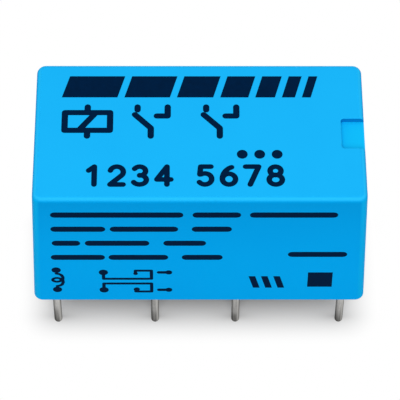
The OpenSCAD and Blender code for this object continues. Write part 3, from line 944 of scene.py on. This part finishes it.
# pad-printed ink: even and dull, a little thin where the pad lifted off
ink, mm = new_material("navy_pad_ink")
thin_spot = 1 / 3
thin = add(ink, "TexNoise", {"Vector": mm, "Scale": 1 / thin_spot, "Detail": 4.0}).outputs[0]
ink_colour = add(
    ink,
    "Mix",
    {"Factor": thin, 6: hex_colour("001935"), 7: hex_colour("002145")},
    data_type="RGBA",
).outputs[2]
ink_roughness = add(
    ink, "MapRange", {"Value": thin, "To Min": 0.287, "To Max": 0.662}
).outputs[0]
ink_surface = add(
    ink,
    "BsdfPrincipled",
    {
        "Base Color": ink_colour,
        "Roughness": ink_roughness,
        "Specular IOR Level": 0.01,
    },
)
dress(ink, ink_surface, top_print)

# Print on the front
# The same ink on the long side above the front pins: rows of plain bars, the diagram of the
# coil and the two contacts, and two plain fields.

front_print_lines = []
row_bar = 0.5  # height of the long bars; each row gives its z and where its bars start and end
bar_rows = {
    8.77: [(-8.79, -0.96), (-0.43, 2.43), (2.94, 8.13)],
    7.37: [(-8.83, -5.58), (-5.32, -1.27), (-0.47, 1.91)],
    5.96: [(-8.81, -7.11), (-6.84, -2.99), (-2.16, 0.39)],
    4.52: [(-8.93, -5.67), (-5.46, -1.87), (-1.06, 1.4)],
    4.82: [(5.31, 8.87)],
}
for z, bars in bar_rows.items():
    for start, end in bars:
        ends = [(start + row_bar / 2, z), (end - row_bar / 2, z)]
        front_print_lines += stroke(ends, row_bar)

# coil: two pads, joined by a bow with a ring on its inner side
wire_w = 0.2
pad_d = 0.56
coil_x = -8.66
coil_top, coil_low = 3.2, 1.16
coil_z = (coil_top + coil_low) / 2
bow = [(0, 0.66), (0.16, 0.61), (0.31, 0.48), (0.38, 0.26), (0.36, 0)]
bow += [(x, -z) for x, z in reversed(bow[:-1])]
ring_x = coil_x + 0.01
ring_radii = (0.26, 0.2)
ring_w = 0.19
front_print_lines += stroke([(coil_x + x, coil_z + z) for x, z in bow], wire_w)
front_print_lines += stroke(arc((ring_x, coil_z), ring_radii, 0, 360), ring_w)
front_print_lines += [disc((coil_x, z), pad_d) for z in (coil_top, coil_low)]

# contacts: the two circuits mirror each other, and only the ends of their hooks differ
diagram_z = 2.04
pad_rise, line_rise, arm_rise = 0.92, 0.25, 1.1
pad_x, bend_x, hook_x = -5.81, -2.9, -3.87
dash_start, dash_end = -2.45, -1.85
dash_w = 0.25
dash_dot_d = 0.42
for side, hook_rise, blob_x, blob_d in ((1, 0.79, -3.86, 0.28), (-1, 0.86, -3.81, 0.38)):
    pad_z = diagram_z + side * pad_rise
    line_z = diagram_z + side * line_rise
    arm_z = diagram_z + side * arm_rise
    hook_z = diagram_z + side * hook_rise
    arm = [(pad_x, pad_z), (pad_x, line_z), (bend_x, line_z), (bend_x, arm_z), (hook_x, arm_z)]
    front_print_lines.append(disc((pad_x, pad_z), pad_d))
    front_print_lines += stroke(arm + [(hook_x, hook_z)], wire_w)
    front_print_lines.append(disc((blob_x, hook_z), blob_d))
    front_print_lines += stroke([(dash_start, pad_z), (dash_end, pad_z)], dash_w)
    front_print_lines.append(disc((dash_end, pad_z), dash_dot_d))

# plain fields: three slanted bars and a square
short_bar_w = 0.4
short_bar_low, short_bar_high = 1.35, 2.55
short_bar_slant = 0.3
for x in (3.0, 3.75, 4.5):
    front_print_lines.append(
        [
            (x + short_bar_slant, short_bar_low),
            (x + short_bar_slant + short_bar_w, short_bar_low),
            (x + short_bar_w, short_bar_high),
            (x, short_bar_high),
        ]
    )
square_x, square_z, square_w = 6.6, 1.45, 1.5
front_print_lines.append(
    [
        (square_x, square_z),
        (square_x + square_w, square_z),
        (square_x + square_w, square_z + square_w),
        (square_x, square_z + square_w),
    ]
)


def on_front(x, z, lift):
    """A point on the drafted front wall, lifted off it."""
    return (x, wall_inset(z) - half_w - lift, z)


front_print = print_piece("front_print", front_print_lines, on_front)
front_print.data.materials.append(ink)

# Floor
# A matt pale grey board under the pins' tips. It keeps the soft shadow below the case, but its
# fade to plain white for the eye, reflections and clear parts paints the shadow's outer edge, and
# a deeper shade round each foot is painted.


def seen_directly(material):
    """1 for the eye, reflections and clear parts, and 0 for the light that falls on pieces."""
    ray = add(material, "LightPath")
    seen = ray.outputs["Is Camera Ray"]
    for kind in ("Is Glossy Ray", "Is Transmission Ray"):
        either = {0: seen, 1: ray.outputs[kind]}
        seen = add(material, "Math", either, operation="MAXIMUM").outputs[0]
    return seen


floor_mesh = bpy.data.meshes.new("pale_board")
board = 300
floor_z = cad_box[0].z / MM
floor_corners = [(-board, -board), (board, -board), (board, board), (-board, board)]
floor_points = [Vector((x, y, floor_z)) * MM for x, y in floor_corners]
floor_mesh.from_pydata(floor_points, [], [(0, 1, 2, 3)])
floor = bpy.data.objects.new("pale_board", floor_mesh)
bpy.context.scene.collection.objects.link(floor)

matt_pale, mm = new_material("matt_pale_board")
# the fade starts inside the case's outline, so it whitens part of the real shade and paints the
# shadow's edge.
# Its own outline is a rectangle with soft corners, drawn by the fourth root of x^4 + y^4
fade_w = 4
inset_x, inset_y = 2.6, 3.65
shaded = (half_l - inset_x, half_w - inset_y, -floor_z)
away = add(matt_pale, "VectorMath", {0: mm}, operation="ABSOLUTE").outputs[0]
past = add(matt_pale, "VectorMath", {0: away, 1: shaded}, operation="SUBTRACT").outputs[0]
beyond = add(matt_pale, "VectorMath", {0: past, 1: (0, 0, 0)}, operation="MAXIMUM").outputs[0]
squared = add(matt_pale, "VectorMath", {0: beyond, 1: beyond}, operation="MULTIPLY").outputs[0]
length = add(matt_pale, "VectorMath", {0: squared}, operation="LENGTH").outputs["Value"]
outside = add(matt_pale, "Math", {0: length}, operation="SQRT").outputs[0]
fade = add(
    matt_pale,
    "MapRange",
    {"Value": outside, "From Max": fade_w},
    interpolation_type="SMOOTHSTEP",
).outputs[0]
whiten = add(
    matt_pale, "Math", {0: seen_directly(matt_pale), 1: fade}, operation="MULTIPLY"
).outputs[0]
board_diffuse = add(matt_pale, "BsdfDiffuse", {"Color": hex_colour("C8C8C8")})
board_white = add(matt_pale, "Emission", {"Color": hex_colour("FFFFFF"), "Strength": 1.0})
board_mix = add(
    matt_pale, "MixShader", {0: whiten, 1: board_diffuse.outputs[0], 2: board_white.outputs[0]}
)

# painted shade: black is mixed into the board round each foot. It lies a little nearer the
# relay's middle and is widest along the row
foot_lean = Vector((0.985, 0.933))
foot_reach = Vector((0.64, 0.22, 1))
foot_depth = 0.36
stretch = [1 / reach for reach in foot_reach]
stretched = add(matt_pale, "VectorMath", {0: mm, 1: stretch}, operation="MULTIPLY").outputs[0]
to_foot = 100.0  # farther than any foot, and then the distance to the nearest one
for pin in pin_centres:
    foot = (pin.x * foot_lean.x / foot_reach.x, pin.y * foot_lean.y / foot_reach.y, floor_z)
    apart = add(matt_pale, "VectorMath", {0: stretched, 1: foot}, operation="DISTANCE")
    to_foot = add(
        matt_pale, "Math", {0: apart.outputs["Value"], 1: to_foot}, operation="MINIMUM"
    ).outputs[0]
fading = add(matt_pale, "Math", {0: math.exp(-1), 1: to_foot}, operation="POWER").outputs[0]
painted_foot_shade = add(matt_pale, "Math", {0: fading, 1: foot_depth}, operation="MULTIPLY").outputs[0]
board_painted_shade = add(matt_pale, "BsdfDiffuse", {"Color": hex_colour("000000")})
board_surface = add(
    matt_pale, "MixShader", {0: painted_foot_shade, 1: board_mix.outputs[0], 2: board_painted_shade.outputs[0]}
)
dress(matt_pale, board_surface, floor)

# Light
# Even white light all round, a wide soft lamp almost straight above, and another to the front
# that lights the printed wall.

white_for_eye, light_on_relay = 1.0, 0.55
world = bpy.data.worlds.new("white_studio")
world.use_nodes = True
world.node_tree.nodes.clear()
strength = add(
    world,
    "Mix",
    {"Factor": seen_directly(world), 2: light_on_relay, 3: white_for_eye},
    data_type="FLOAT",
).outputs[0]
sky = add(world, "Background", {"Color": hex_colour("FFFFFF"), "Strength": strength})
add(world, "OutputWorld", {"Surface": sky.outputs[0]})
bpy.context.scene.world = world

lamp_distance = 150
for name, lamp_elevation, size, energy in (
    ("overhead_softbox", 98, 120, 0.049),
    ("front_softbox", 45, 80, 0.077),
):
    angle = math.radians(lamp_elevation)
    lamp_data = bpy.data.lights.new(name, "AREA")
    lamp_data.shape = "SQUARE"
    lamp_data.size = size * MM
    lamp_data.energy = energy
    lamp = bpy.data.objects.new(name, lamp_data)
    lamp.location = Vector((0, -math.cos(angle), math.sin(angle))) * lamp_distance * MM
    lamp.rotation_euler = (math.pi / 2 - angle, 0, 0)
    bpy.context.scene.collection.objects.link(lamp)

# Camera
# At the photograph's angle, from the long side, a little over half way up, with a long lens.
# It stands about 1 mm left of the relay's middle and is turned back to face it.

elevation = math.radians(54.884)
camera_distance = 148.11
sideways = -1.09
aim = Vector((0.068, 0, 3.044))
camera_data = bpy.data.cameras.new("camera")
camera_data.sensor_width = 36
camera_data.lens = 215.52
camera_data.clip_start = MM
camera_data.clip_end = 10
camera = bpy.data.objects.new("camera", camera_data)
back_off = Vector((0, -math.cos(elevation), math.sin(elevation)))
camera.location = (aim + camera_distance * back_off + Vector((sideways, 0, 0))) * MM
camera.rotation_mode = "YXZ"
camera.rotation_euler = (math.pi / 2 - elevation, math.atan(sideways / camera_distance), 0)
bpy.context.scene.collection.objects.link(camera)
bpy.context.scene.camera = camera
bpy.context.scene.view_settings.view_transform = "Standard"
